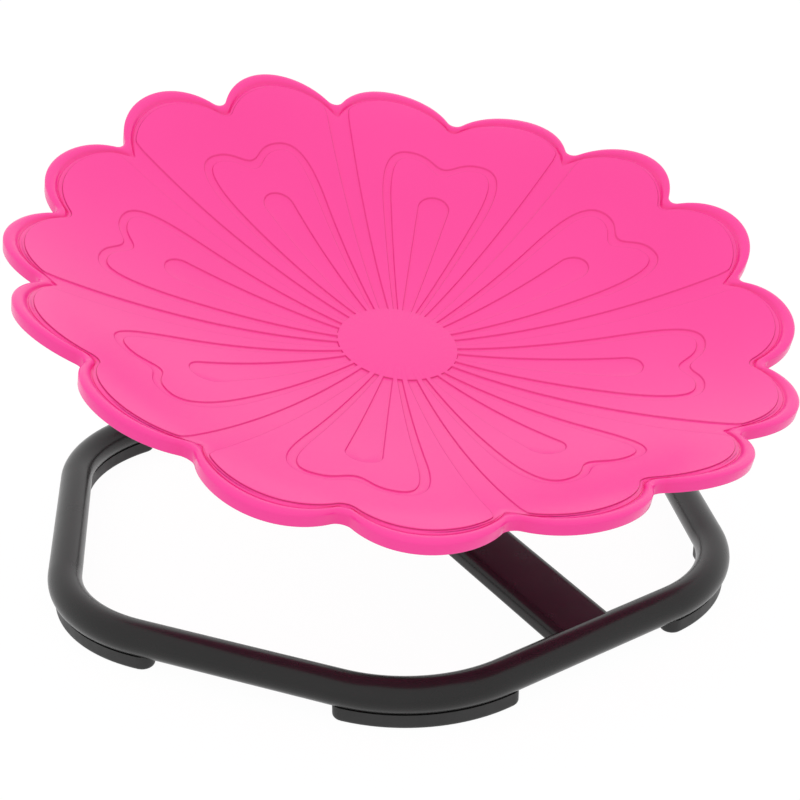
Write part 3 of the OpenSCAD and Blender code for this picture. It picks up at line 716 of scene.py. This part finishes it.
def relief_rows():
    """Rows of a half petal from its middle line to the rim's channel, with their depth shares and marks of painted
    shade.
    """
    core_at = columns(SLOT_C * CORE_SIDE - DISC_EDGE, SLOT_C - DISC_EDGE)
    core = np.stack([DISC_EDGE + core_at, 0 * core_at], -1)
    rim = edge_half(BEAD_W)
    groove_at = columns(rim[0] @ polar(1.0, PETAL_HALF) - DISC_EDGE, 2 * SEAT_R)[:SIDE_N]
    outer = np.concatenate([polar(DISC_EDGE + groove_at, PETAL_HALF), rim])
    # The grooves between the petals run down into the channel
    fall = np.clip((np.arange(len(outer)) / SIDE_N - FALL_FROM) / (1 - FALL_FROM), 0, 1) ** 2
    outer_depth = 1 + (channel_drop(BEAD_W) / RELIEF - 1) * both_ways(fall)
    rows = [(core, 1.0, 0.0)]

    def reach(count, following):
        """Adds rows evenly over the flat up to the next wall, then the wall."""
        a, depth, _ = rows[-1]
        for s in np.linspace(0, 1, count + 2)[1:-1]:
            rows.append((a + (following[0][0] - a) * s, depth, 0.0))
        rows.extend(following)

    # Rows over the slot, the panel in the heart, the heart's groove, the panel round it and the gap to the rim
    reach(1, wall(slot_line(), False))
    reach(4, wall(heart_line(**INNER_HEART), True))
    reach(1, wall(heart_line(**OUTER_HEART), False))
    reach(4, edge_wall(panel_line()))
    reach(0, [(outer, outer_depth, 0.0)])
    return rows


def smooth_line(points, n):
    """Points along a smooth line through a section's points."""
    p = np.asarray(points, float)
    q = np.concatenate([2 * p[:1] - p[1:2], p, 2 * p[-1:] - p[-2:-1]])
    out = []
    for k in range(len(p) - 1):
        a, b, c, d = q[k:k + 4]
        for t in np.linspace(0, 1, n, endpoint=False):
            out.append(b + 0.5 * t * (c - a + t * (2 * a - 5 * b + 4 * c - d + t * (3 * b - a - 3 * c + d))))
    return out + [p[-1]]


def channel_drop(inset):
    return RELIEF + CHANNEL_SLOPE * (PANEL_INSET - inset)


def rim_section():
    """The rim from its channel over the bead and down the skirt, as inset and rise over the dish's face."""
    over = smooth_line([(BEAD_W, -channel_drop(BEAD_W)), *BEAD_LINE, (RIM_TRIM, -BEAD_END)], BEAD_STEPS)
    a = np.radians(np.linspace(0, 90, RIM_ROUND_N))
    turn = RIM_ROUND * np.stack([1 - np.cos(a), -np.sin(a)], -1)
    foot = [(RIM_TRIM + i, -SKIRT_H + RIM_ROUND + d) for i, d in turn]
    back = [(SKIRT_WALL - i, -SKIRT_H + RIM_ROUND + d) for i, d in turn[::-1]]
    return over + foot + back


def petal_face(patch, angle, rows):
    """A petal's upper side and its sector of the plain disc."""
    start = np.ones(2 * HALF_N + 1)
    start[:len(START_DEPTH)] = START_DEPTH
    start[-len(START_DEPTH):] = START_DEPTH[::-1]
    # Painted shade where the relief's walls start at the disc's edge, added to the painted shade the rows carry
    # along their walls
    ends = np.zeros(2 * HALF_N + 1)
    ends[:len(START_SHADE)] = START_SHADE
    ends[-len(START_SHADE):] = START_SHADE[::-1]
    top = []
    marks = []
    for half, depth, mark in rows:
        xy = turned(whole(half), angle)
        xy[[0, -1]] *= (DISC_EDGE / np.hypot(*xy[[0, -1]].T))[:, None]
        top.append(lift(xy, RELIEF * (depth * start)))
        low = np.asarray(depth) > 0.5
        marks.append(np.maximum(mark * (start > 0), ends * low))
    patch.grid(top, marks)

    level = DISC_Z - CENTRE_SINK
    edge = np.array([r[-1] for r in top[:0:-1]] + [r[0] for r in top])
    edge[:, 2] = level
    midway = edge * [0.5, 0.5, 1]
    patch.grid([edge, midway])
    patch.fan(midway, [0, 0, level])


# Rows of the underside: share of the way from the screw pad to the skirt, and share of the ribs' depth there.
UNDER = [(0.9, 0.5), (0.75, 1.0), (0.55, 1.0), (0.35, 1.0), (0.15, 1.0), (0.0, 1.0)]
UNDER_FROM = PAD_R + RIB_H / 3


def petal_rim(patch, angle):
    """A petal's bead and skirt and its underside, with half a rib along each side, in to the screw pad."""
    section = rim_section()
    under = [lift(turned(whole(edge_half(inset)), angle), -rise) for inset, rise in section]
    # Painted shade in the channel along the bead's inner foot
    foot = [BEAD_SHADE * math.exp(-((inset - BEAD_FOOT) / BEAD_SHADE_W) ** 2) for inset, _ in section]
    # A rib is full over half of the fillet's columns and gone at the fillet's end
    rib = np.zeros(EDGE_N + 1)
    rib[:FILLET_N + 1] = np.clip(2 - np.linspace(0, 2, FILLET_N + 1), 0, 1)
    rib = both_ways(rib)
    base = turned(whole(edge_half(SKIRT_BACK)), angle)
    reach = np.hypot(*base.T)
    way = base / reach[:, None]
    under.append(lift(base, SEAT_WALL + (SKIRT_H - SEAT_WALL) / 2 * rib))
    for share, depth in UNDER:
        r = UNDER_FROM + (reach - UNDER_FROM) * share
        under.append(lift(way * r[:, None], SEAT_WALL + RIB_H * depth * rib))
    for r in (PAD_R, PAD_R / 2):
        under.append(level_ring((0.0, 0.0), way * r, PAD_Z))
    marks = np.zeros((len(under), len(way)))
    marks[:len(foot)] = np.asarray(foot)[:, None]
    patch.grid(under, marks)
    patch.fan(under[-1], [0, 0, PAD_Z])


def lathe(section, at):
    """A closed turned solid from a section of radius and height that starts and ends on its axis."""
    patch = Patch()
    a = np.arange(0, 360, 360 / LATHE_SIDES)
    rows = [level_ring(at, polar(r, a), z) for r, z in section[1:-1]]
    patch.grid(rows, wrap=True)
    patch.fan(rows[0], [*at, section[0][1]], wrap=True)
    patch.fan(rows[-1], [*at, section[-1][1]], wrap=True)
    return patch


def screw_boss():
    """A boss under the dish's pad, its foot run into the pad, with a blind hole for the screw."""
    r = BOSS_D / 2
    foot = [(r + over, PAD_Z + rise) for over, rise in BOSS_FOOT]
    edge = [(r, PLATE_TOP + BOSS_EDGE), (r - BOSS_EDGE, PLATE_TOP)]
    hole = [(BOSS_HOLE_R, PLATE_TOP), (BOSS_HOLE_R, BOSS_HOLE_TOP)]
    return lathe([(0, foot[0][1]), *foot, *edge, *hole, (0, BOSS_HOLE_TOP)], (BOSS_R, 0.0))


def seat_matrix():
    """From the seat's own axes to the part's: its turn, then its tilt where the two centre lines cross."""
    tilt = Matrix.Rotation(math.radians(TILT), 4, "X") @ Matrix.Rotation(math.radians(SEAT_TURN), 4, "Z")
    return Matrix.Translation((0, 0, AXIS_Z * MM)) @ tilt


def seat_dish():
    """Two petals, on a crest and in a trough of the wave, repeated round the axis, and the screw bosses."""
    pair = Patch()
    rows = relief_rows()
    for angle in (0.0, PETAL):
        petal_face(pair, angle, rows)
        petal_rim(pair, angle)
    pink = FINISH["seat_plastic"]
    flower = ROUND.bake(pair.mesh("petals"), Count=PETALS // 2, Material=pink)
    bosses = ROUND.bake(screw_boss().mesh("boss"), Count=BOSS_COUNT, Material=pink)
    piece("seat_dish", [flower, bosses], "seat_plastic", "seat", "seat_shell", DISH_SHARP, seat_matrix())


def floor_ring():
    """The hexagonal ring of bent tube."""
    tube = TUBE.bake(bpy.data.meshes.new("path"), Corners=RING_SIDES, Reach=RING_R * MM, Bend=BEND_R * MM,
                     Radius=TUBE_R * MM, Level=TUBE_Z * MM, Material=FINISH["frame_coat"])
    piece("floor_ring", [tube], "frame_coat", "base", "base_ring", TUBE_SHARP)


def bar_section():
    """The crossbar's section, a flat box with round corners."""
    out = []
    for sx, sy, a0 in ((1, 1, 0), (-1, 1, 90), (-1, -1, 180), (1, -1, 270)):
        r = BAR_TOP_EDGE if sy > 0 else BAR_CORNER
        corner = np.array([sx * (BAR_W / 2 - r), sy * (BAR_H / 2 - r)])
        out.extend(corner + polar(r, np.linspace(a0, a0 + 90, BAR_CORNER_N)))
    return np.array(out)


def bridge_bar():
    """The crossbar: two rising arms and the arch between them, run into the ring at both ends."""
    s = math.radians(BAR_SLOPE)
    half = ARCH_R * math.sin(s)
    cz = TUBE_Z + BAR_LIFT + (FLAT_R - half) * math.tan(s) - ARCH_R * math.cos(s)
    path = [(ARCH_R * math.sin(t), cz + ARCH_R * math.cos(t), t) for t in np.linspace(-s, s, ARCH_N)]
    end = (FLAT_R - half) / math.cos(s) - BAR_CORNER / 2
    for d in np.linspace(0, end, ARM_N)[1:]:
        y = half + d * math.cos(s)
        z = cz + ARCH_R * math.cos(s) - d * math.sin(s)
        path = [(-y, z, -s), *path, (y, z, s)]
    across, up = bar_section().T
    rows = [np.stack([across, y + up * math.sin(t), z + up * math.cos(t)], -1) for y, z, t in path]
    bar = Patch()
    bar.grid(rows, wrap=True)
    bar.fan(rows[0], rows[0].mean(0), wrap=True)
    bar.fan(rows[-1], rows[-1].mean(0), wrap=True)
    piece("bridge_bar", [bar.mesh("bar")], "frame_coat", "base", "crossbar", BAR_SHARP)


def pan_screw(patch, at, head_z, head_d, head_h, shank_d, shank_l):
    """A screw that points up: shank, domed pan head below head_z and a cross recess in the head."""
    a = np.arange(0, 360, 360 / SCREW_SIDES)
    arm = CROSS_ARM * head_d
    wide = CROSS_WIDE * head_d
    # The cross's outline: an arm's end within its own angle, an arm's side beyond it
    off = np.abs((a + 45) % 90 - 45)
    edge = np.degrees(np.arctan2(wide, arm))
    end = arm / np.cos(np.radians(off))
    cross = np.where(off <= edge, end, wide / np.sin(np.radians(np.maximum(off, edge))))
    tip = head_z + shank_l
    face = head_z - head_h
    well = face + CROSS_DEEP * head_h
    section = [(shank_d / 2, tip), (shank_d / 2, head_z), (head_d / 2, head_z)]
    section += [(head_d / 2 * wide_share, face + rise * head_h) for wide_share, rise in HEAD_DOME]
    section += [(cross, face), (cross * (1 - CROSS_TAPER * CROSS_DEEP), well)]
    rows = [level_ring(at, polar(radius, a), z) for radius, z in section]
    patch.grid(rows, wrap=True)
    patch.fan(rows[0], [*at, tip], wrap=True)
    patch.fan(rows[-1], [*at, well], wrap=True)


def fasteners():
    """Screws under the pads and under the dish, each made once and repeated."""
    zinc = FINISH["zinc_plate"]
    pair = Patch()
    length = FOOT_DROP - FOOT_SINK + FOOT_SCREW_REACH
    for side in (-1, 1):
        at = np.array([CORNER_C, 0.0]) + polar(BEND_R, FOOT_TURN + side * FOOT_SCREW_ANGLE)
        pan_screw(pair, at, FOOT_SINK, FOOT_HEAD_D, FOOT_HEAD_H, FOOT_SCREW_D, length)
    made = ROUND.bake(pair.mesh("foot_screw"), Count=RING_SIDES, Material=zinc)
    piece("pad_screws", [made], SLOT_OF["foot_screws"], "base", "foot_screws", SCREW_SHARP)

    one = Patch()
    length = PLATE_TOP - HEAD_Z + FLANGE_SCREW_REACH
    pan_screw(one, (BOSS_R, 0.0), HEAD_Z, FLANGE_HEAD_D, FLANGE_HEAD_H, FLANGE_SCREW_D, length)
    made = ROUND.bake(one.mesh("flange_screw"), Count=BOSS_COUNT, Material=zinc)
    piece("dish_screws", [made], SLOT_OF["flange_screws"], "seat", "flange_screws", SCREW_SHARP, seat_matrix())


seat_dish()
floor_ring()
bridge_bar()
fasteners()

# Where the photograph was taken from, in metres and degrees, with a shift of half a pixel
CAMERA_AT = (-0.7077, -0.9753, 0.6620)
CAMERA_TILT = 65.52
CAMERA_TURN = -36.68
LENS = 77.4
SENSOR = 36.0
PICTURE = 800
HALF_PIXEL = 0.5 / PICTURE
VIEW_END = 60
# Light and floor: the floor's half side and level in metres, its paper, its glow and share of shadow where it is
# seen, and its glow and evenness where it only lights the object
SKY = 1.05
FLOOR_HALF = 12.0
FLOOR_Z = -0.0004
PAPER = (0.88, 0.88, 0.88)
SEEN_GLOW = 1.02
SEEN_SHADOW = 0.05
BOUNCE_GLOW = 0.75
BOUNCE_EVEN = 0.35
SEEN_RAYS = ("Is Camera Ray", "Is Glossy Ray", "Is Transmission Ray")


def white_floor():
    """A floor that shows white, with only a breath of shadow, and lights the object as plain paper does."""
    corners = [(x * FLOOR_HALF, y * FLOOR_HALF, FLOOR_Z) for x, y in ((-1, -1), (1, -1), (1, 1), (-1, 1))]
    mesh = bpy.data.meshes.new("floor")
    mesh.from_pydata(corners, [], [(0, 1, 2, 3)])
    m = bpy.data.materials.new("floor_white")
    m.use_nodes = True
    g = Graph(m.node_tree)
    g.tree.nodes.clear()
    glow = g.node("ShaderNodeEmission", {"Strength": SEEN_GLOW})
    matt = g.node("ShaderNodeBsdfDiffuse", {"Color": PAPER})
    shown = g.node("ShaderNodeMixShader", {0: SEEN_SHADOW, 1: glow, 2: matt})
    even = g.node("ShaderNodeEmission", {"Strength": BOUNCE_GLOW})
    lit = g.node("ShaderNodeMixShader", {0: BOUNCE_EVEN, 1: matt, 2: even})
    camera, glossy, through = (g.node("ShaderNodeLightPath", out=kind) for kind in SEEN_RAYS)
    both = g.node("ShaderNodeMixShader", {0: camera + glossy + through, 1: lit, 2: shown})
    out = g.tree.nodes.new("ShaderNodeOutputMaterial")
    g.put(out.inputs["Surface"], both)
    mesh.materials.append(m)
    floor = bpy.data.objects.new("floor", mesh)
    bpy.context.scene.collection.objects.link(floor)


def white_sky(world):
    """White all round, as in a light tent."""
    world.use_nodes = True
    g = Graph(world.node_tree)
    back = g.tree.nodes["Background"]
    g.put(back.inputs["Color"], (1.0, 1.0, 1.0))
    g.put(back.inputs["Strength"], SKY)


def studio():
    """The light tent, the floor and the camera."""
    scene = bpy.context.scene
    scene.view_settings.view_transform = "Standard"
    scene.world = bpy.data.worlds.new("studio")
    white_sky(scene.world)
    white_floor()
    lens = bpy.data.cameras.new("camera")
    lens.lens = LENS
    lens.sensor_width = SENSOR
    lens.shift_x = -HALF_PIXEL
    lens.shift_y = HALF_PIXEL
    lens.clip_end = VIEW_END
    camera = bpy.data.objects.new("camera", lens)
    camera.location = CAMERA_AT
    camera.rotation_euler = (math.radians(CAMERA_TILT), 0, math.radians(CAMERA_TURN))
    scene.collection.objects.link(camera)
    scene.camera = camera


studio()
